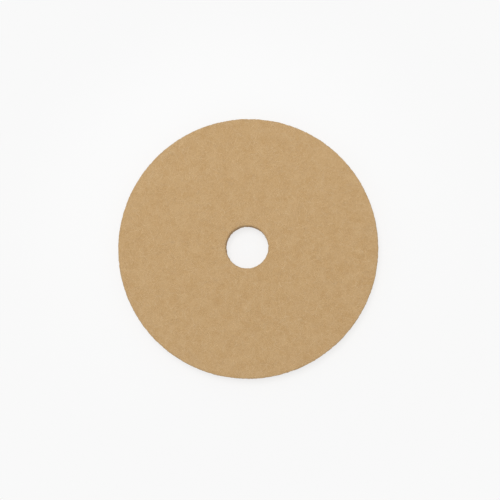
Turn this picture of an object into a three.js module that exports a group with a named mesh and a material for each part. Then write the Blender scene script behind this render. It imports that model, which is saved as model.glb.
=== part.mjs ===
// A floor polishing pad: one thick disc of resin-bonded non-woven fibre web, with a centre hole
// that drops over the hub of the machine's pad holder. A ring-shaped steel-rule die cuts the rim
// and the hole together in one stroke, so both edges have the same section.
// Millimetres, +Z up. The origin is the middle of the hole on the lower face, which the pad lies on.

import * as THREE from "three";

// Driving sizes
const PAD_DIAMETER = 508; // the 20 inch size of a low-speed or burnishing machine
const HOLE_DIAMETER = 82.6; // 3 1/4 inch, the same on every size of pad
const PAD_THICKNESS = 25.4; // 1 inch of lofty web

// The upper face is the one the die goes in through. It is dragged down before the fibres part,
// and keeps a broad soft shoulder.
const ENTRY_ROLL_WIDTH = 3.4;
const ENTRY_ROLL_DROP = 2.6;

// The lower face lies on the cutting board, and its edge stays nearly square.
const EXIT_ROLL_WIDTH = 1.3;
const EXIT_ROLL_DROP = 1.0;

// The squeezed web bulges past the blade and springs back once it is cut, which leaves each wall
// hollow at mid thickness. It springs back less round the small hole, where it has nowhere to go.
const RIM_HOLLOW = 1.2;
const HOLE_HOLLOW = 0.7;

// Facets
const TURN_STEPS = 120; // the chords miss the true rim by less than 0.1 mm
const ROLL_STEPS = 4;
const WALL_STEPS = 4;

const WEB_COLOUR = 0xc2a174;
const WEB_ROUGHNESS = 0.95;

// Section of a cut edge, from the lower face to the upper face. x is the depth into the web from
// the line that the blade cut along, and y is the height.
function cutEdge(hollow) {
  const wallTop = PAD_THICKNESS - ENTRY_ROLL_DROP;
  const exitRoll = new THREE.EllipseCurve(
    EXIT_ROLL_WIDTH, EXIT_ROLL_DROP, EXIT_ROLL_WIDTH, EXIT_ROLL_DROP, -Math.PI / 2, -Math.PI, true,
  );
  const wall = new THREE.QuadraticBezierCurve(
    new THREE.Vector2(0, EXIT_ROLL_DROP),
    new THREE.Vector2(2 * hollow, (EXIT_ROLL_DROP + wallTop) / 2),
    new THREE.Vector2(0, wallTop),
  );
  const entryRoll = new THREE.EllipseCurve(
    ENTRY_ROLL_WIDTH, wallTop, ENTRY_ROLL_WIDTH, ENTRY_ROLL_DROP, Math.PI, Math.PI / 2, true,
  );
  return [
    ...exitRoll.getPoints(ROLL_STEPS),
    ...wall.getPoints(WALL_STEPS).slice(1, -1),
    ...entryRoll.getPoints(ROLL_STEPS),
  ];
}

// Closed section of the ring of web: up the rim, in across the upper face, down the hole and out
// across the lower face.
function padSection() {
  const rim = cutEdge(RIM_HOLLOW).map(
    (p) => new THREE.Vector2(PAD_DIAMETER / 2 - p.x, p.y),
  );
  const hole = cutEdge(HOLE_HOLLOW).map(
    (p) => new THREE.Vector2(HOLE_DIAMETER / 2 + p.x, p.y),
  );
  const section = [...rim, ...hole.reverse()];
  return [...section, section[0].clone()];
}

function polishingPad() {
  const geometry = new THREE.LatheGeometry(padSection(), TURN_STEPS);
  geometry.rotateX(Math.PI / 2); // the lathe turns about +Y
  const material = new THREE.MeshStandardMaterial({
    color: WEB_COLOUR,
    roughness: WEB_ROUGHNESS,
    metalness: 0,
  });
  const pad = new THREE.Mesh(geometry, material);
  pad.name = "polishing_pad";
  return pad;
}

const floorPad = new THREE.Group();
floorPad.add(polishingPad());

export default floorPad;
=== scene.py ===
import math

import bpy
import numpy as np
from mathutils import Matrix, Vector


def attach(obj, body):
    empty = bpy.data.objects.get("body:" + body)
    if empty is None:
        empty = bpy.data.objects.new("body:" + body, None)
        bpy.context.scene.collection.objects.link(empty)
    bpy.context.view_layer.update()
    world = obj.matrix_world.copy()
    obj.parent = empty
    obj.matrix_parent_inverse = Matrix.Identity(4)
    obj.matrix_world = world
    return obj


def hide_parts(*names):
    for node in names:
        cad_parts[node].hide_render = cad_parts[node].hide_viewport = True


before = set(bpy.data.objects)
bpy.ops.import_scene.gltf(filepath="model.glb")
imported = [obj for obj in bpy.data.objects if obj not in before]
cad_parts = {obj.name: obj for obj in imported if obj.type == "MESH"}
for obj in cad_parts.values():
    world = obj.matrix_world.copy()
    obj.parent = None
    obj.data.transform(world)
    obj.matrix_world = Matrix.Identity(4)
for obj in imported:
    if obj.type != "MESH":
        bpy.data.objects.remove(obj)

bl_info = {
    "name": "Floor polishing pad",
    "version": (1, 0, 0),
    "blender": (4, 5, 0),
    "location": "View3D > Sidebar > Floor pad",
    "description": "Dresses the ring of a floor polishing pad as a lofty web of resin-bonded fibres",
    "category": "Object",
}

# Everything is in metres, in the frame of the CAD ring: +Z up, the hole's middle at the origin.
MM = 0.001
FULL_TURN = 2 * math.pi
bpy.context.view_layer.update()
PAD_NODE = "polishing_pad"
BODY = "root"

# Points of the CAD ring that are closer than this in radius or height are level with each other.
LEVEL_WITHIN = 0.02 * MM


def points_of(name):
    """The points of a CAD node, as rows of x, y and z."""
    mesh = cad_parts[name].data
    flat = np.empty(len(mesh.vertices) * 3, np.float32)
    mesh.vertices.foreach_get("co", flat)
    return flat.reshape(-1, 3).astype(float)


def read_section(points):
    """The sizes of the ring and of its two cut edges, read off the CAD solid."""
    radius = np.hypot(points[:, 0], points[:, 1])
    height = points[:, 2]
    rim, hole, top = radius.max(), radius.min(), height.max()
    at_rim = height[radius > rim - LEVEL_WITHIN]
    at_top = radius[height > top - LEVEL_WITHIN]
    at_base = radius[height < LEVEL_WITHIN]
    wall = (height > at_rim.min() - LEVEL_WITHIN) & (height < at_rim.max() + LEVEL_WITHIN)
    outer = radius > (rim + hole) / 2
    return {
        "rim_radius": rim,
        "hole_radius": hole,
        "thickness": top,
        "upper_roll_width": rim - at_top.max(),
        "upper_roll_drop": top - at_rim.max(),
        "lower_roll_width": rim - at_base.max(),
        "lower_roll_drop": at_rim.min(),
        "rim_hollow": rim - radius[wall & outer].min(),
        "hole_hollow": radius[wall & ~outer].max() - hole,
    }


SECTION = read_section(points_of(PAD_NODE))


# Sizes and colours that a user would change


def linear(hex_colour):
    """An sRGB colour such as "#C6A474" as linear red, green and blue."""
    levels = [int(hex_colour[i : i + 2], 16) / 255 for i in (1, 3, 5)]
    return [c / 12.92 if c <= 0.04045 else ((c + 0.055) / 1.055) ** 2.4 for c in levels]


def length(name, description, default):
    return bpy.props.FloatProperty(
        name=name, description=description, default=default, unit="LENGTH", precision=5
    )


def colour(name, description, hex_colour):
    return bpy.props.FloatVectorProperty(
        name=name, description=description, default=linear(hex_colour), subtype="COLOR"
    )


class WebSizes(bpy.types.PropertyGroup):
    """How the bulk of the web lies inside the CAD ring."""

    sink: length(
        "Sink",
        "Depth of the bulk of the web below the outermost fibres",
        0.45 * MM,
    )
    loft: length(
        "Loft",
        "How far the faces swell and dip where the web was laid thick or thin",
        0.2 * MM,
    )
    tear: length(
        "Tear",
        "How far the cut walls are uneven, where the die dragged clumps of fibre",
        0.25 * MM,
    )


class FibreSizes(bpy.types.PropertyGroup):
    """The fibres that are modelled one by one on the outside of the web."""

    thickness: length(
        "Thickness",
        "Drawn thickness of a fibre; a real one is 0.05 to 0.15 mm, too fine to show",
        0.26 * MM,
    )
    span: length("Length", "Length of a staple fibre that lies in a face", 34 * MM)
    crimp: length("Crimp", "Length of one wave of a fibre's crimp", 13 * MM)
    face_count: bpy.props.IntProperty(
        name="Fibres in a layer",
        description="Number of fibres in one layer of a face",
        default=3400,
        min=1,
    )
    rim_count: bpy.props.IntProperty(
        name="Fibres in the rim",
        description="Number of fibres that run along the cut wall of the rim",
        default=2600,
        min=1,
    )
    rim_stubs: bpy.props.IntProperty(
        name="Cut ends in the rim",
        description="Number of cut ends that stand out of the rim",
        default=4600,
        min=1,
    )


class PadColours(bpy.types.PropertyGroup):
    """The colours of the tan resin, from the pores of the web to its brightest fibres. The pores and
    the inner web are darker by painted shade.
    """

    # Painted shade: the pores take the dark of the shade that lies between the fibres.
    pores: colour("Pores", "The pores of the inner web, in their shade", "#AB8759")
    # Partly painted shade: the inner web is the tan resin darkened for the shade of the outer fibres
    # over it.
    web: colour("Inner web", "Fibres below the outermost ones", "#C6A474")
    gathered: colour("Gathered resin", "Outer fibres where the resin gathered", "#C6A475")
    resin: colour("Resin", "Outer fibres under an even coat of tan resin", "#D1B386")
    thin: colour("Thin resin", "Outer fibres that the resin coats thinly", "#D9BF97")


class StudioSettings(bpy.types.PropertyGroup):
    """The light, the floor and the backdrop."""

    key_power: bpy.props.FloatProperty(
        name="Key light",
        description="Power of the large soft light overhead",
        default=46.0,
        unit="POWER",
    )
    sky: bpy.props.FloatProperty(
        name="Sky",
        description="Strength of the even light from all round",
        default=0.55,
    )
    shadow: bpy.props.FloatProperty(
        name="Shadow",
        description="Share of the floor's look that comes from the light on it",
        default=0.25,
        subtype="FACTOR",
        min=0.0,
        max=1.0,
    )
    floor: colour("Floor", "The pale floor and the backdrop", "#F9F9F9")


# Form of the ring and of the web in it


def wave_field(seed, shortest, longest, count=48):
    """A smooth random field over space, of mean 0 and spread 1, from waves of those lengths."""
    draw = np.random.default_rng(seed)
    wavelength = np.exp(draw.uniform(math.log(shortest), math.log(longest), count))
    heading = draw.normal(size=(count, 3))
    heading /= np.linalg.norm(heading, axis=1)[:, None]
    wave = heading * (FULL_TURN / wavelength)[:, None]
    phase = draw.uniform(0, FULL_TURN, count)
    return lambda points: np.sin(points @ wave.T + phase).sum(-1) * math.sqrt(2 / count)


def edge_section(hollow, roll_steps, wall_steps):
    """Depth behind the blade's line and height of a cut edge, from the lower face to the upper."""
    wall_base = SECTION["lower_roll_drop"]
    wall_top = SECTION["thickness"] - SECTION["upper_roll_drop"]
    turn = np.linspace(0, math.pi / 2, roll_steps)
    up = np.linspace(0, 1, wall_steps)[1:-1]
    depth = [
        SECTION["lower_roll_width"] * (1 - np.sin(turn)),
        4 * hollow * up * (1 - up),
        SECTION["upper_roll_width"] * (1 - np.cos(turn)),
    ]
    height = [
        wall_base * (1 - np.cos(turn)),
        wall_base + up * (wall_top - wall_base),
        wall_top + SECTION["upper_roll_drop"] * np.sin(turn),
    ]
    return np.concatenate(depth), np.concatenate(height)


def face_height(radius, upper):
    """Height of a face at a radius, with the rolls of both cut edges."""
    side = "upper" if upper else "lower"
    width, drop = SECTION[side + "_roll_width"], SECTION[side + "_roll_drop"]
    depth = np.minimum(SECTION["rim_radius"] - radius, radius - SECTION["hole_radius"])
    across = np.clip(1 - depth / width, 0, 1)
    fall = drop * (1 - np.sqrt(1 - across**2))
    return SECTION["thickness"] - fall if upper else fall


# The faces swell over the width of a hand. The walls are torn over clumps a few millimetres wide.
LOFT_FIELD = wave_field(11, 16 * MM, 90 * MM)
TEAR_FIELD = wave_field(12, 3 * MM, 12 * MM)
DEEPEST_DIP = 0.9 * MM
HIGHEST_SWELL = 0.9  # share of the sink, so that the bulk of the web stays inside the CAD ring


def web_level(points, on_wall):
    """How far the bulk of the web stands proud of the CAD surface at these points."""
    web = bpy.context.scene.pad_web
    faces = web.loft * LOFT_FIELD(points)
    walls = web.tear * TEAR_FIELD(points)
    uneven = np.where(on_wall, walls, faces)
    return np.clip(uneven, -DEEPEST_DIP, HIGHEST_SWELL * web.sink) - web.sink


def mesh_object(name, points, faces, corners_uv, material):
    """A smooth mesh with a map to bake its materials through."""
    mesh = bpy.data.meshes.new(name)
    mesh.from_pydata(points, [], faces)
    mesh.polygons.foreach_set("use_smooth", [True] * len(mesh.polygons))
    layer = mesh.uv_layers.new(name="OFBake")
    layer.data.foreach_set("uv", np.ascontiguousarray(corners_uv, np.float32).ravel())
    mesh.materials.append(material)
    mesh.update()
    piece = bpy.data.objects.new(name, mesh)
    bpy.context.scene.collection.objects.link(piece)
    return piece


def settle(piece):
    """The pad is one body, and every piece of it rides there."""
    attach(piece, BODY)
    return piece


# Bulk of the web

# Stretches of the ring's section, in the order of its loop
RIM, UPPER, HOLE, LOWER = range(4)

# Steps of the core: round the ring, across a face, round each roll of an edge and up a wall
TURNS = 720
FACE_STEPS = 40
ROLL_STEPS = 8
WALL_STEPS = 12

# Where the surface leans out by more than this share, it is a wall and no longer a face.
WALL_LEAN = 0.5
FLOOR_GAP = 0.05 * MM

# Corners of a quad of the core, as steps along the section and round the ring
QUAD = ((0, 0), (0, 1), (1, 1), (1, 0))

# The core's map: the faces are two discs side by side, and the walls are strips above them. The rim
# takes four strips of a quarter turn each, and the hole takes one whole strip.
DISC_WIDTH = 0.48
UPPER_DISC_X, LOWER_DISC_X, DISC_Y = 0.25, 0.75, 0.25
STRIP_LENGTH = 0.95
STRIPS_X, STRIPS_Y = 0.02, 0.52
STRIP_PITCH = 0.09
RIM_STRIPS = 4


def core_loop():
    """The ring's section as a closed loop: radius and height of each point, and its stretch."""
    rim_depth, rim_height = edge_section(SECTION["rim_hollow"], ROLL_STEPS, WALL_STEPS)
    hole_depth, hole_height = edge_section(SECTION["hole_hollow"], ROLL_STEPS, WALL_STEPS)
    rim_radius = SECTION["rim_radius"] - rim_depth
    hole_radius = SECTION["hole_radius"] + hole_depth
    across = np.linspace(0, 1, FACE_STEPS)[1:-1]
    upper = rim_radius[-1] + across * (hole_radius[-1] - rim_radius[-1])
    lower = hole_radius[0] + across * (rim_radius[0] - hole_radius[0])
    radius = [rim_radius, upper, hole_radius[::-1], lower]
    height = [
        rim_height,
        np.full(len(upper), SECTION["thickness"]),
        hole_height[::-1],
        np.zeros(len(lower)),
    ]
    stretch = np.repeat([RIM, UPPER, HOLE, LOWER], [len(part) for part in radius])
    return np.concatenate(radius), np.concatenate(height), stretch


def revolved(radius, height, angle):
    """The section's points, or its normals, turned to each angle: rows by turns by 3."""
    x = radius[:, None] * np.cos(angle)
    y = radius[:, None] * np.sin(angle)
    return np.stack([x, y, np.repeat(height[:, None], len(angle), 1)], -1)


def core_map(radius, height, stretch, angle):
    """Where each corner of each quad of the core lies on its map."""
    rows, turns = len(radius), len(angle)
    along = np.concatenate([[0], np.cumsum(np.hypot(np.diff(radius), np.diff(height)))])
    base = along[np.searchsorted(stretch, stretch)]
    strip_turn = FULL_TURN / RIM_STRIPS
    disc_scale = DISC_WIDTH / (2 * SECTION["rim_radius"])
    strip_scale = STRIP_LENGTH / (SECTION["rim_radius"] * strip_turn)
    on_rim = stretch[:, None] == RIM
    on_face = (stretch[:, None] == UPPER) | (stretch[:, None] == LOWER)
    quarter = np.arange(turns) // (turns // RIM_STRIPS)
    strip = np.where(on_rim, quarter, RIM_STRIPS)
    strip_start = np.where(on_rim, quarter * strip_turn, 0.0)
    wall_radius = np.where(on_rim, SECTION["rim_radius"], SECTION["hole_radius"])
    disc_x = np.where(stretch[:, None] == UPPER, UPPER_DISC_X, LOWER_DISC_X)
    uv = np.zeros((rows, turns, len(QUAD), 2))
    for corner, (row_shift, turn_shift) in enumerate(QUAD):
        row = (np.arange(rows) + row_shift) % rows
        at = angle + turn_shift * (FULL_TURN / turns)
        reach = radius[row][:, None] * disc_scale
        climb = (along[row] - base)[:, None] * strip_scale
        face_x = disc_x + reach * np.cos(at)
        face_y = DISC_Y + reach * np.sin(at)
        wall_x = STRIPS_X + (at - strip_start) * wall_radius * strip_scale
        wall_y = STRIPS_Y + strip * STRIP_PITCH + climb
        uv[:, :, corner, 0] = np.where(on_face, face_x, wall_x)
        uv[:, :, corner, 1] = np.where(on_face, face_y, wall_y)
    return uv


def web_core():
    """The bulk of the web: the CAD ring with the swells of its loft and torn, uneven walls."""
    radius, height, stretch = core_loop()
    along_r = np.roll(radius, -1) - np.roll(radius, 1)
    along_z = np.roll(height, -1) - np.roll(height, 1)
    size = np.hypot(along_r, along_z)
    out_r, out_z = along_z / size, -along_r / size
    angle = np.arange(TURNS) * (FULL_TURN / TURNS)
    points = revolved(radius, height, angle)
    on_wall = np.abs(out_r)[:, None] > WALL_LEAN
    proud = web_level(points, on_wall)[..., None]
    points = points + revolved(out_r, out_z, angle) * proud
    points[..., 2] = np.maximum(points[..., 2], FLOOR_GAP)
    index = np.arange(len(radius) * TURNS).reshape(len(radius), TURNS)
    corners = [np.roll(index, (-row, -turn), (0, 1)) for row, turn in QUAD]
    faces = np.stack(corners, -1).reshape(-1, len(QUAD))
    corners_uv = core_map(radius, height, stretch, angle)
    piece = mesh_object("web_core", points.reshape(-1, 3), faces, corners_uv, bonded_web())
    settle(piece)
    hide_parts(PAD_NODE)
    return piece


# Fibres

# A fibre's plan is drawn in fine steps, cut where it leaves the web, and then kept at a few nodes.
FINE_STEPS = 48
FACE_NODES = 10
WALL_NODES = 8
STUB_NODES = 4

# The section of a drawn fibre, in shares of its thickness across it and up it: a low ridge, whose
# two upper sides lie half way between the top and the flanks of a round fibre, and catch the same
# light from above and from the side.
RIDGE = ((-0.5, -0.18), (0.5, -0.18), (0.0, 0.27))
SIDES = len(RIDGE)
END_TAPER = 0.6

# A fibre dips into the bulk of the web at its own ends and lies on it between them, at a level of
# its own. A few are loose and stand higher.
BURIED = 0.5 * MM
DIP_SHARE = 0.22
FACE_RISE = 0.3 * MM
WALL_RISE = 0.35 * MM
RISE_SPREAD = (0.1, 1)
LOOSE_SHARE = 0.06
LOOSE_RISE = 3
WEAVE_SHARE = 0.3
WEAVES = (1, 3)
OVER_FLOOR = 0.02 * MM

# Crimp is a long wave and a short one, given as shares of the crimp's length and of its swing.
CRIMP_WAVES = (1.0, 0.45)
WAVE_SPREAD = (0.75, 1.6)
SWING_SPREAD = (0.2, 0.85)
LENGTH_SPREAD = (0.55, 1.15)

# Most fibres have an even coat of resin, and few have the least or the most of it: a beta spread.
TONE_SHAPE = (2.2, 2.2)

# Fibres of a face: how far they bend in all, in radians, and how close they come to the die's cut.
# Those that it cut start in its line, within a fan of headings about straight in.
FACE_BEND = 1.1
EDGE_MARGIN = 0.4 * MM
CUT_AT_RIM = 0.055
CUT_AT_HOLE = 0.008
CUT_FAN = 1.3
FACE_THICKNESS = (0.75, 1.2)

# Fibres of a wall are stretches of longer ones, nearly level because the web is laid in layers.
WALL_SPAN = 0.6
WALL_CRIMP = 0.7
WALL_BEND = 0.5
WALL_TILT = 0.38
WALL_THICKNESS = (0.7, 1.15)
CHART_ROLL_STEPS = 12
CHART_WALL_STEPS = 24

# Cut ends stand out of a wall and lean over, in millimetres. Most are short.
STUB_LEAN = (0.3, 1.6)
STUB_REACH = (0.15, 1.15)
STUB_SHORTNESS = 1.5
STUB_CURL = 1.6
STUB_THICKNESS = (0.6, 1.0)

# The map of the fibres: a square cell for each, of which the fibre takes this share, and its end
# caps as small triangles in it.
CELL_SHARE = 0.8
CAP_CORNERS = ((0, 0), (0.15, 0), (0, 0.3))
FAR_CAP = (0.85, 0.0)


def curled_plans(draw, count, span, crimp, bend):
    """Plans of crimped fibres that start at 0, 0 heading along x: count by FINE_STEPS by 2."""
    share_along = np.linspace(0, 1, FINE_STEPS)
    lengths = span * draw.uniform(*LENGTH_SPREAD, (count, 1))
    along = share_along * lengths
    waves = 0
    for share in CRIMP_WAVES:
        wavelength = crimp * share * draw.uniform(*WAVE_SPREAD, (count, 1))
        phase = draw.uniform(0, FULL_TURN, (count, 1))
        swing = share * draw.uniform(*SWING_SPREAD, (count, 1))
        waves = waves + swing * np.sin(FULL_TURN * along / wavelength + phase)
    heading = waves + draw.normal(0, bend, (count, 1)) * share_along
    step = lengths / (FINE_STEPS - 1)
    x = np.cumsum(np.cos(heading) * step, 1)
    y = np.cumsum(np.sin(heading) * step, 1)
    return np.stack([x, y], -1)


def turned(plans, angle):
    """Each plan turned by its own angle."""
    cos, sin = np.cos(angle)[:, None], np.sin(angle)[:, None]
    x, y = plans[..., 0], plans[..., 1]
    return np.stack([x * cos - y * sin, x * sin + y * cos], -1)


def cut_short(plans, inside, nodes):
    """Each plan up to where it first leaves the web, at even nodes, and whether it was cut."""
    kept = np.where(inside.all(1), FINE_STEPS, inside.argmin(1))
    kept = np.maximum(kept, 2)
    at = np.linspace(0, 1, nodes)[None] * (kept - 1)[:, None]
    low = np.minimum(at.astype(int), FINE_STEPS - 2)
    share = (at - low)[..., None]
    row = np.arange(len(plans))[:, None]
    return plans[row, low] * (1 - share) + plans[row, low + 1] * share, kept < FINE_STEPS


def lie(draw, nodes, starts_cut, ends_cut, rise):
    """Height of each fibre over the bulk of the web. An end that the die cut doesn't dip in."""
    each = (len(starts_cut), 1)
    along = np.linspace(0, 1, nodes)[None]
    start = np.where(starts_cut[:, None], 1, np.clip(along / DIP_SHARE, 0, 1))
    end = np.where(ends_cut[:, None], 1, np.clip((1 - along) / DIP_SHARE, 0, 1))
    emerged = np.sin(start * math.pi / 2) * np.sin(end * math.pi / 2)
    level = draw.uniform(*RISE_SPREAD, each) * rise
    level = np.where(draw.random(each) < LOOSE_SHARE, LOOSE_RISE * level, level)
    waves = along * draw.uniform(*WEAVES, each) + draw.uniform(0, 1, each)
    weave = WEAVE_SHARE * rise * np.sin(FULL_TURN * waves)
    return emerged * (level + weave + BURIED) - BURIED


def over_floor(paths, thickness):
    """Paths kept just over the floor that the pad lies on."""
    paths[..., 2] = np.maximum(paths[..., 2], thickness / 2 + OVER_FLOOR)
    return paths


def tubes(name, paths, off, thickness, tone, material):
    """Closed three-sided fibres along the paths. off points off the surface that they lie on."""
    count, nodes = paths.shape[:2]
    along = np.gradient(paths, axis=1)
    along /= np.linalg.norm(along, axis=2)[..., None] + 1e-12
    beside = np.cross(along, off)
    beside /= np.linalg.norm(beside, axis=2)[..., None] + 1e-12
    lift = np.cross(beside, along)
    taper = np.ones(nodes)
    taper[[0, -1]] = END_TAPER
    width = (thickness[:, None] * taper)[..., None]
    rings = [paths + width * (beside * across + lift * up) for across, up in RIDGE]
    points = np.stack(rings, 2).reshape(-1, 3)
    index = np.arange(len(points)).reshape(count, nodes, SIDES)
    here, there = index[:, :-1], index[:, 1:]
    quads = np.stack([here, there, np.roll(there, -1, 2), np.roll(here, -1, 2)], -1)
    caps = np.concatenate([index[:, 0], index[:, -1, ::-1]])
    faces = quads.reshape(-1, 4).tolist() + caps.tolist()
    piece = mesh_object(name, points, faces, tube_map(count, nodes), material)
    sharpen_feet(piece.data)
    shades = piece.data.attributes.new("tone", "FLOAT", "POINT")
    shades.data.foreach_set("value", np.repeat(tone, nodes * SIDES).astype(np.float32))
    return settle(piece)


def sharpen_feet(mesh):
    """Marks the two lower edges along each fibre as sharp, so that its upper sides shade alone."""
    ends = np.empty(2 * len(mesh.edges), np.int32)
    mesh.edges.foreach_get("vertices", ends)
    corner = ends.reshape(-1, 2) % SIDES
    apex = SIDES - 1
    foot = (corner[:, 0] == corner[:, 1]) & (corner[:, 0] < apex)
    mesh.edges.foreach_set("use_edge_sharp", foot)


def tube_map(count, nodes):
    """A small patch of the map for each fibre: along it in one direction, round it in the other."""
    columns = math.ceil(math.sqrt(count))
    fibre = np.arange(count)
    cell = np.stack([fibre % columns, fibre // columns], -1) / columns
    size = CELL_SHARE / columns
    ring = np.arange(nodes - 1)[:, None, None]
    side = np.arange(SIDES)[:, None]
    u = (ring + np.array([0, 1, 1, 0])) / (nodes - 1) + 0 * side
    v = (side + np.array([0, 0, 1, 1])) / SIDES + 0 * ring
    quads = cell[:, None, None, None] + np.stack([u, v], -1) * size
    cap = np.array(CAP_CORNERS) * size
    start_caps = cell[:, None] + cap
    end_caps = cell[:, None] + cap + np.array(FAR_CAP) * size
    return np.concatenate([part.reshape(-1, 2) for part in (quads, start_caps, end_caps)])


def face_fibres(name, seed, upper, count, material):
    """Crimped fibres that lie every way in a face. The die cuts those that cross its edges."""
    draw = np.random.default_rng(seed)
    sizes = bpy.context.scene.pad_fibres
    outer = SECTION["rim_radius"] - EDGE_MARGIN
    inner = SECTION["hole_radius"] + EDGE_MARGIN
    at_rim, at_hole = int(count * CUT_AT_RIM), int(count * CUT_AT_HOLE)
    within = count - at_rim - at_hole
    scattered = np.sqrt(draw.uniform(inner**2, outer**2, within))
    radius = np.concatenate([scattered, np.full(at_rim, outer), np.full(at_hole, inner)])
    angle = draw.uniform(0, FULL_TURN, count)
    heading = draw.uniform(0, FULL_TURN, count)
    heading[within:] = angle[within:] + draw.uniform(-CUT_FAN, CUT_FAN, at_rim + at_hole)
    heading[within : within + at_rim] += math.pi
    plans = turned(curled_plans(draw, count, sizes.span, sizes.crimp, FACE_BEND), heading)
    plans += np.stack([radius * np.cos(angle), radius * np.sin(angle)], -1)[:, None]
    r = np.hypot(plans[..., 0], plans[..., 1])
    slack = EDGE_MARGIN / 2
    inside = (r < outer + slack) & (r > inner - slack)
    plan, ends_cut = cut_short(plans, inside, FACE_NODES)
    starts_cut = np.arange(count) >= within
    r = np.hypot(plan[..., 0], plan[..., 1])
    paths = np.dstack([plan, face_height(r, upper)])
    proud = lie(draw, FACE_NODES, starts_cut, ends_cut, FACE_RISE)
    proud += web_level(paths, np.zeros(r.shape, bool))
    side = 1 if upper else -1
    paths[..., 2] += side * proud
    thickness = sizes.thickness * draw.uniform(*FACE_THICKNESS, count)
    if not upper:
        paths = over_floor(paths, thickness[:, None])
    off = np.zeros(paths.shape)
    off[..., 2] = side
    return tubes(name, paths, off, thickness, draw.beta(*TONE_SHAPE, count), material)


def wall_chart(side):
    """A function that places points on a cut wall, the height along it and the length round it.

    The function takes how far round a point is, how far up and how proud, and gives the point and
    the way off the wall there."""
    outward = 1 if side == "rim" else -1
    start = SECTION[side + "_radius"]
    depth, height = edge_section(SECTION[side + "_hollow"], CHART_ROLL_STEPS, CHART_WALL_STEPS)
    r = start - outward * depth
    along = np.concatenate([[0], np.cumsum(np.hypot(np.diff(r), np.diff(height)))])
    tangent_r, tangent_z = np.gradient(r, along), np.gradient(height, along)
    size = np.hypot(tangent_r, tangent_z)
    normal_r, normal_z = outward * tangent_z / size, -outward * tangent_r / size

    def place(around, up, proud):
        angle = around / start
        cos, sin = np.cos(angle), np.sin(angle)
        off_r, off_z = np.interp(up, along, normal_r), np.interp(up, along, normal_z)
        off = np.stack([off_r * cos, off_r * sin, off_z], -1)
        radius, z = np.interp(up, along, r), np.interp(up, along, height)
        base = np.stack([radius * cos, radius * sin, z], -1)
        level = web_level(base, np.ones(base.shape[:-1], bool))
        return base + off * (proud + level)[..., None], off

    return place, along[-1], FULL_TURN * start


def wall_fibres(name, draw, wall, count, material):
    """Fibres that run along a cut wall."""
    place, tall, round_it = wall
    sizes = bpy.context.scene.pad_fibres
    heading = draw.normal(0, WALL_TILT, count) + math.pi * draw.integers(0, 2, count)
    span, crimp = WALL_SPAN * sizes.span, WALL_CRIMP * sizes.crimp
    plans = turned(curled_plans(draw, count, span, crimp, WALL_BEND), heading)
    start = [draw.uniform(0, round_it, count), draw.uniform(0, tall, count)]
    plans += np.stack(start, -1)[:, None]
    up = plans[..., 1]
    plan, ends_cut = cut_short(plans, (up > 0) & (up < tall), WALL_NODES)
    starts_cut = np.zeros(count, bool)
    proud = lie(draw, WALL_NODES, starts_cut, ends_cut, WALL_RISE)
    paths, off = place(plan[..., 0], plan[..., 1], proud)
    paths = over_floor(paths, sizes.thickness)
    thickness = sizes.thickness * draw.uniform(*WALL_THICKNESS, count)
    return tubes(name, paths, off, thickness, draw.beta(*TONE_SHAPE, count), material)


def cut_ends(name, draw, wall, count, material):
    """Cut ends and short loops that stand out of a cut wall."""
    place, tall, round_it = wall
    sizes = bpy.context.scene.pad_fibres
    t = np.linspace(0, 1, STUB_NODES)
    lean = draw.uniform(*STUB_LEAN, (count, 1)) * MM
    way = draw.uniform(0, FULL_TURN, (count, 1))
    reach = draw.uniform(*STUB_REACH, (count, 1)) ** STUB_SHORTNESS * MM
    curl = t**STUB_CURL
    around = draw.uniform(0, round_it, (count, 1)) + lean * np.cos(way) * curl
    up = draw.uniform(0, tall, (count, 1)) + lean * np.sin(way) * curl
    paths, off = place(around, np.clip(up, 0, tall), (BURIED + reach) * t - BURIED)
    paths = over_floor(paths, sizes.thickness)
    beside = np.cross(off, np.array([0.0, 0.0, 1.0]))
    thickness = sizes.thickness * draw.uniform(*STUB_THICKNESS, count)
    return tubes(name, paths, beside, thickness, draw.beta(*TONE_SHAPE, count), material)


def dress_wall(side, seed, count, stubs, material):
    """The fibres and the cut ends of one cut wall, side being rim or hole."""
    draw = np.random.default_rng(seed)
    wall = wall_chart(side)
    wall_fibres(side + "_fibres", draw, wall, count, material)
    cut_ends(side + "_cut_ends", draw, wall, stubs, material)


# Materials

# Sockets of a Mix node that mixes colours, which have no names of their own
MIX_SHARE, MIX_FROM, MIX_TO, MIXED = 0, 6, 7, 2

# The web is air-laid: its curls are this much flatter than they are wide, as the cut walls show.
LAID_FLAT = 1.9

# Layers of curled fibre from the deepest to the nearest: spacing, seed and brightness, the deeper
# layers darker by painted shade from the nearer ones. They are drawn 1.2 to 1.9 mm apart and about
# 0.3 mm wide, where the real fibres are 0.1 mm wide and closer.
CURL_LAYERS = ((1.2 * MM, 3.0, 0.45), (1.5 * MM, 7.0, 0.7), (1.9 * MM, 0.0, 1.0))
CURL_WIDTH = 0.055  # in the noise's own units, either side of its middle

# Patches where the resin lies thinner, and the clumps of fibre with voids between them, the voids in
# painted shade
PATCH_SIZE = 18 * MM
PATCH_SHARE = 0.16
CLUMP_SIZE = 5 * MM
VOID_DEPTH = 0.8  # how far a void that the die cut open goes to the shade of the pores
BEAD_SIZE = 6 * MM


def node(tree, kind, inputs=None, **settings):
    """A new node with its settings. An input is a value, or the output that it is linked to."""
    made = tree.nodes.new(kind)
    for name, value in settings.items():
        setattr(made, name, value)
    for key, value in (inputs or {}).items():
        if isinstance(value, bpy.types.NodeSocket):
            tree.links.new(value, made.inputs[key])
        else:
            made.inputs[key].default_value = value
    return made


def new_material(name):
    material = bpy.data.materials.new(name)
    material.use_nodes = True
    material.node_tree.nodes.clear()
    return material, material.node_tree


def rgba(value):
    return [*value, 1.0]


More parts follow.
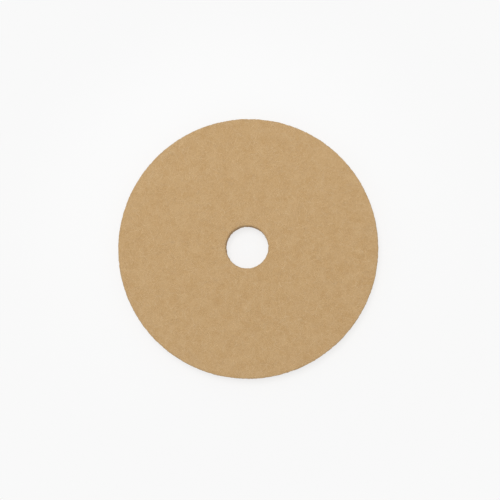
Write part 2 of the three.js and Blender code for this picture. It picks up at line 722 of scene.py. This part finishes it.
def curls(tree, place):
    """Layers of curled fibres: their brightness where one lies, lower in the deeper layers as
    painted shade, and 0 in the pores between, where the painted shade is darkest.
    """
    nearness = 0.0
    for spacing, seed, brightness in CURL_LAYERS:
        noise = node(
            tree,
            "ShaderNodeTexNoise",
            {"Vector": place, "W": seed, "Scale": 1 / spacing, "Detail": 1.0, "Distortion": 0.6},
            noise_dimensions="4D",
        )
        middle = {0: noise.outputs["Fac"], 1: 0.5}
        off = node(tree, "ShaderNodeMath", middle, operation="SUBTRACT")
        gap = node(tree, "ShaderNodeMath", {0: off.outputs[0]}, operation="ABSOLUTE")
        curl = node(
            tree,
            "ShaderNodeMapRange",
            {
                "Value": gap.outputs[0],
                "From Min": 0.0,
                "From Max": CURL_WIDTH,
                "To Min": brightness,
                "To Max": 0.0,
            },
            interpolation_type="SMOOTHSTEP",
        )
        layered = {0: curl.outputs["Result"], 1: nearness}
        nearness = node(tree, "ShaderNodeMath", layered, operation="MAXIMUM").outputs[0]
    return nearness


def void_shade(tree, place, normal):
    """How open the web is between its clumps of fibre, on the cut walls only: how far each void is
    painted in the shade of the pores.
    """
    upright = node(tree, "ShaderNodeSeparateXYZ", {"Vector": normal})
    lying = node(tree, "ShaderNodeMath", {0: upright.outputs["Z"]}, operation="ABSOLUTE")
    on_wall = node(
        tree,
        "ShaderNodeMapRange",
        {
            "Value": lying.outputs[0],
            "From Min": 0.25,
            "From Max": 0.8,
            "To Min": VOID_DEPTH,
            "To Max": 0.0,
        },
    )
    clumps = node(
        tree,
        "ShaderNodeTexNoise",
        {"Vector": place, "Scale": 1 / CLUMP_SIZE, "Detail": 2.0, "Roughness": 0.6},
    )
    void = node(
        tree,
        "ShaderNodeMapRange",
        {"Value": clumps.outputs["Fac"], "From Min": 0.42, "From Max": 0.62},
    )
    voids_in_shade = {0: void.outputs["Result"], 1: on_wall.outputs["Result"]}
    return node(tree, "ShaderNodeMath", voids_in_shade, operation="MULTIPLY").outputs[0]


def bonded_web():
    """Non-woven polyester web under sprayed resin, seen between its outermost fibres: layer on layer
    of matt curls, the deeper ones darker by painted shade, with small pores in painted shade, in
    patches of more and less resin. Where the die cut through it, the voids between its clumps are
    open and painted in the shade of the pores."""
    material, tree = new_material("resin_bonded_polyester_web")
    colours = bpy.context.scene.pad_colours
    texture = node(tree, "ShaderNodeTexCoord")
    place = texture.outputs["Object"]
    flattened = {"Vector": place, "Scale": (1.0, 1.0, LAID_FLAT)}
    laid = node(tree, "ShaderNodeMapping", flattened).outputs[0]
    nearness = curls(tree, laid)
    # Painted shade: the ramp runs from the shade of the pores through the deeper, shaded curls to
    # the inner web.
    ramp = node(tree, "ShaderNodeValToRGB", {"Fac": nearness})
    stops = ramp.color_ramp.elements
    stops[0].position, stops[0].color = 0.0, rgba(colours.pores)
    stops[1].position, stops[1].color = 0.7, rgba(colours.web)
    mottle = node(
        tree,
        "ShaderNodeTexNoise",
        {"Vector": place, "Scale": 1 / PATCH_SIZE, "Detail": 3.0, "Roughness": 0.6},
    )
    patches = node(
        tree,
        "ShaderNodeMapRange",
        {
            "Value": mottle.outputs["Fac"],
            "From Min": 0.35,
            "From Max": 0.65,
            "To Min": 0.0,
            "To Max": PATCH_SHARE,
        },
    )
    patched = node(
        tree,
        "ShaderNodeMix",
        {
            MIX_SHARE: patches.outputs["Result"],
            MIX_FROM: ramp.outputs["Color"],
            MIX_TO: rgba(colours.thin),
        },
        data_type="RGBA",
    )
    # Painted shade: the open voids of the cut walls go towards the shade of the pores.
    voids_in_shade = node(
        tree,
        "ShaderNodeMix",
        {
            MIX_SHARE: void_shade(tree, laid, texture.outputs["Normal"]),
            MIX_FROM: patched.outputs[MIXED],
            MIX_TO: rgba(colours.pores),
        },
        data_type="RGBA",
    )
    rough = node(
        tree,
        "ShaderNodeMapRange",
        {"Value": nearness, "To Min": 0.95, "To Max": 0.72},
    )
    bump = node(
        tree,
        "ShaderNodeBump",
        {"Height": nearness, "Strength": 0.4, "Distance": 0.2 * MM},
    )
    shader = node(
        tree,
        "ShaderNodeBsdfPrincipled",
        {
            "Base Color": voids_in_shade.outputs[MIXED],
            "Roughness": rough.outputs["Result"],
            "Normal": bump.outputs["Normal"],
            "IOR": 1.5,
            "Specular IOR Level": 0.3,
            "Sheen Weight": 0.1,
            "Sheen Roughness": 0.5,
        },
    )
    node(tree, "ShaderNodeOutputMaterial", {"Surface": shader.outputs[0]})
    return material


def coated_fibre():
    """Crimped polyester staple in a skin of tan resin: a soft satin line of light on each fibre,
    with fibres that took more or less of the resin, and beads of it along each."""
    name = "resin_coated_polyester_fibre"
    if name in bpy.data.materials:
        return bpy.data.materials[name]
    material, tree = new_material(name)
    colours = bpy.context.scene.pad_colours
    tone = node(tree, "ShaderNodeAttribute", attribute_name="tone")
    place = node(tree, "ShaderNodeTexCoord").outputs["Object"]
    beads = node(
        tree,
        "ShaderNodeTexNoise",
        {"Vector": place, "Scale": 1 / BEAD_SIZE, "Detail": 2.0},
    )
    halved = {0: beads.outputs["Fac"], 1: 0.5, 2: -0.25}
    drift = node(tree, "ShaderNodeMath", halved, operation="MULTIPLY_ADD")
    shade = node(
        tree,
        "ShaderNodeMath",
        {0: tone.outputs["Fac"], 1: drift.outputs[0]},
        use_clamp=True,
    )
    ramp = node(tree, "ShaderNodeValToRGB", {"Fac": shade.outputs[0]})
    stops = ramp.color_ramp.elements
    stops[0].position, stops[0].color = 0.0, rgba(colours.gathered)
    stops[1].position, stops[1].color = 1.0, rgba(colours.thin)
    stops.new(0.5).color = rgba(colours.resin)
    rough = node(
        tree,
        "ShaderNodeMapRange",
        {"Value": beads.outputs["Fac"], "To Min": 0.75, "To Max": 0.5},
    )
    shader = node(
        tree,
        "ShaderNodeBsdfPrincipled",
        {
            "Base Color": ramp.outputs["Color"],
            "Roughness": rough.outputs["Result"],
            "IOR": 1.5,
            "Specular IOR Level": 0.35,
            "Sheen Weight": 0.1,
        },
    )
    node(tree, "ShaderNodeOutputMaterial", {"Surface": shader.outputs[0]})
    return material


def shown_to_camera(tree):
    """1 for what the camera sees, straight or by way of gloss or glass, and 0 for the light."""
    path = node(tree, "ShaderNodeLightPath")
    straight = {0: path.outputs["Is Camera Ray"], 1: path.outputs["Is Glossy Ray"]}
    gloss = node(tree, "ShaderNodeMath", straight, operation="MAXIMUM")
    through = {0: gloss.outputs[0], 1: path.outputs["Is Transmission Ray"]}
    return node(tree, "ShaderNodeMath", through, operation="MAXIMUM").outputs[0]


def studio_floor():
    """Matt painted floor: an even pale tone that keeps a soft part of the pad's shadow. Far from
    the pad it is as even as the backdrop, so no line shows between them."""
    material, tree = new_material("matt_painted_floor")
    studio = bpy.context.scene.pad_studio
    lit = node(tree, "ShaderNodeBsdfDiffuse", {"Color": rgba(studio.floor)})
    even = node(tree, "ShaderNodeEmission", {"Color": rgba(studio.floor), "Strength": 1.0})
    place = node(tree, "ShaderNodeTexCoord").outputs["Object"]
    away = node(tree, "ShaderNodeVectorMath", {0: place}, operation="LENGTH")
    evenness = node(
        tree,
        "ShaderNodeMapRange",
        {
            "Value": away.outputs["Value"],
            "From Min": SHADOW_REACH,
            "From Max": SHADOW_END,
            "To Min": 1 - studio.shadow,
            "To Max": 1.0,
        },
        interpolation_type="SMOOTHSTEP",
    )
    seen = {0: shown_to_camera(tree), 1: evenness.outputs["Result"]}
    share = node(tree, "ShaderNodeMath", seen, operation="MULTIPLY")
    mixed = node(
        tree,
        "ShaderNodeMixShader",
        {0: share.outputs[0], 1: lit.outputs[0], 2: even.outputs[0]},
    )
    node(tree, "ShaderNodeOutputMaterial", {"Surface": mixed.outputs[0]})
    return material


# Studio

FLOOR_HALF = 30.0
SHADOW_REACH = 0.3  # the floor keeps the pad's shadow whole as far out as this
SHADOW_END = 0.55
KEY_PLACE = Vector((-0.3, 0.8, 2.7))
KEY_WIDTH = 1.8

# The camera stands nearly over the pad. Its small tilt sets the hole off the middle of the outline.
EYE = Vector((0.0645, -0.0878, 1.2))
AIM = Vector((0.0060, -0.0058, 0.0228))
SENSOR = 36.0
FOCAL = 1.2133  # in widths of the sensor


def facing(eye, aim):
    """The turn of a camera or lamp at eye that looks at aim, with +Y up in the picture."""
    back = (eye - aim).normalized()
    right = Vector((0, 1, 0)).cross(back).normalized()
    return Matrix((right, back.cross(right), back)).transposed().to_euler()


def make_floor():
    h = FLOOR_HALF
    mesh = bpy.data.meshes.new("floor")
    mesh.from_pydata([(-h, -h, 0), (h, -h, 0), (h, h, 0), (-h, h, 0)], [], [(0, 1, 2, 3)])
    mesh.materials.append(studio_floor())
    floor = bpy.data.objects.new("floor", mesh)
    bpy.context.scene.collection.objects.link(floor)


def make_key_light():
    light = bpy.data.lights.new("key", "AREA")
    light.shape = "DISK"
    light.size = KEY_WIDTH
    light.energy = bpy.context.scene.pad_studio.key_power
    lamp = bpy.data.objects.new("key", light)
    lamp.location = KEY_PLACE
    lamp.rotation_euler = facing(KEY_PLACE, Vector())
    bpy.context.scene.collection.objects.link(lamp)


def make_sky():
    """An even white light from all round, with the floor's tone where the camera sees it."""
    studio = bpy.context.scene.pad_studio
    world = bpy.data.worlds.new("studio")
    bpy.context.scene.world = world
    world.use_nodes = True
    tree = world.node_tree
    tree.nodes.clear()
    white = (1.0, 1.0, 1.0, 1.0)
    lit = node(tree, "ShaderNodeBackground", {"Color": white, "Strength": studio.sky})
    seen = node(tree, "ShaderNodeBackground", {"Color": rgba(studio.floor)})
    mixed = node(
        tree,
        "ShaderNodeMixShader",
        {0: shown_to_camera(tree), 1: lit.outputs[0], 2: seen.outputs[0]},
    )
    node(tree, "ShaderNodeOutputWorld", {"Surface": mixed.outputs[0]})


def make_camera():
    data = bpy.data.cameras.new("camera")
    data.sensor_width = SENSOR
    data.lens = SENSOR * FOCAL
    camera = bpy.data.objects.new("camera", data)
    camera.location = EYE
    camera.rotation_euler = facing(EYE, AIM)
    bpy.context.scene.collection.objects.link(camera)
    bpy.context.scene.camera = camera


# Operators


class PAD_OT_web(bpy.types.Operator):
    """Make the bulk of the web and let it stand for the CAD ring"""

    bl_idname = "pad.web"
    bl_label = "Web"

    def execute(self, context):
        web_core()
        return {"FINISHED"}


class PAD_OT_face_fibres(bpy.types.Operator):
    """Lay the fibres of the upper and lower faces"""

    bl_idname = "pad.face_fibres"
    bl_label = "Face fibres"

    def execute(self, context):
        count = context.scene.pad_fibres.face_count
        fibre = coated_fibre()
        face_fibres("upper_fibres_under", 21, True, count, fibre)
        face_fibres("upper_fibres_over", 22, True, count, fibre)
        face_fibres("lower_fibres", 23, False, count, fibre)
        return {"FINISHED"}


class PAD_OT_wall_fibres(bpy.types.Operator):
    """Lay the fibres and cut ends of the rim and of the hole"""

    bl_idname = "pad.wall_fibres"
    bl_label = "Cut walls"

    def execute(self, context):
        sizes = context.scene.pad_fibres
        share = SECTION["hole_radius"] / SECTION["rim_radius"]
        hole_count, hole_stubs = int(sizes.rim_count * share), int(sizes.rim_stubs * share)
        fibre = coated_fibre()
        dress_wall("rim", 31, sizes.rim_count, sizes.rim_stubs, fibre)
        dress_wall("hole", 32, hole_count, hole_stubs, fibre)
        return {"FINISHED"}


class PAD_OT_stage(bpy.types.Operator):
    """Set up the floor, the light and the camera"""

    bl_idname = "pad.stage"
    bl_label = "Studio"

    def execute(self, context):
        context.scene.view_settings.view_transform = "Standard"
        make_floor()
        make_key_light()
        make_sky()
        make_camera()
        return {"FINISHED"}


class PAD_PT_panel(bpy.types.Panel):
    """Sizes, colours and steps of the pad"""

    bl_idname = "PAD_PT_panel"
    bl_label = "Floor pad"
    bl_space_type = "VIEW_3D"
    bl_region_type = "UI"
    bl_category = "Floor pad"

    def draw(self, context):
        for group in GROUPS:
            settings = getattr(context.scene, group)
            box = self.layout.box()
            for name in settings.bl_rna.properties.keys():
                if name not in {"rna_type", "name"}:
                    box.prop(settings, name)
        for step in STEPS:
            self.layout.operator(step.bl_idname)


GROUPS = {
    "pad_web": WebSizes,
    "pad_fibres": FibreSizes,
    "pad_colours": PadColours,
    "pad_studio": StudioSettings,
}
STEPS = (PAD_OT_web, PAD_OT_face_fibres, PAD_OT_wall_fibres, PAD_OT_stage)
CLASSES = (*GROUPS.values(), *STEPS, PAD_PT_panel)


def register():
    for cls in CLASSES:
        bpy.utils.register_class(cls)
    for name, group in GROUPS.items():
        setattr(bpy.types.Scene, name, bpy.props.PointerProperty(type=group))


def unregister():
    for name in GROUPS:
        delattr(bpy.types.Scene, name)
    for cls in reversed(CLASSES):
        bpy.utils.unregister_class(cls)


def main():
    register()
    bpy.ops.pad.web()
    bpy.ops.pad.face_fibres()
    bpy.ops.pad.wall_fibres()
    bpy.ops.pad.stage()


if __name__ == "__main__":
    main()
